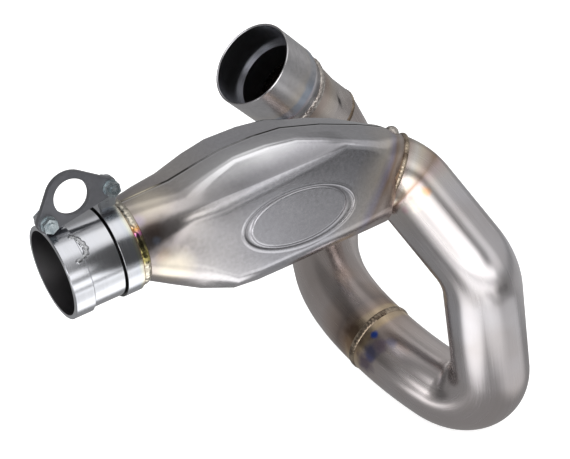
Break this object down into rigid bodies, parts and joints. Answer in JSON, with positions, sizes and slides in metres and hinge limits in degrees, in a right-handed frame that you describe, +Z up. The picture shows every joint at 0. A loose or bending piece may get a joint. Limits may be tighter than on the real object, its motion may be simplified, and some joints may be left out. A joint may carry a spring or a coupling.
{
  "type": "motorcycle exhaust header",
  "caption": "Motorcycle exhaust header with an inlet socket, a looped mandrel-bent tube, a flat stamped expansion chamber, a turned outlet collar and a bolted hanger plate.",
  "frame": {"origin": "centre of the outlet collar's mouth", "axes": "+X along the outlet collar's axis into the chamber, the chamber's seam lies in y = 0, its badge side looks to -Y, +Z is up across the chamber"},
  "size_m": [0.2726, 0.2329, 0.2479],
  "materials": {
    "tube_steel": "satin",
    "chamber_steel": "satin",
    "collar_steel": "satin",
    "weld_bead": "satin",
    "zinc_steel": "satin",
    "plate_dark": "satin"
  },
  "bodies": {
    "root": {"outlet_collar": "collar_steel", "stop_ring": "collar_steel", "collar_weld": "weld_bead", "lip_weld": "weld_bead", "chamber_front_shell": "chamber_steel", "chamber_rear_shell": "chamber_steel", "seam_end_weld": "weld_bead", "chamber_inlet_weld": "weld_bead", "front_bend_tube": "tube_steel", "loop_weld": "weld_bead", "side_bend_tube": "tube_steel", "riser_tube": "tube_steel", "socket_weld": "weld_bead", "inlet_socket": "collar_steel", "hanger_plate": "plate_dark", "front_ear": "collar_steel", "rear_ear": "collar_steel", "ear_welds": "weld_bead", "hanger_bolts": "zinc_steel", "hanger_washers": "zinc_steel", "hanger_nuts": "zinc_steel"}
  },
  "joints": []
}
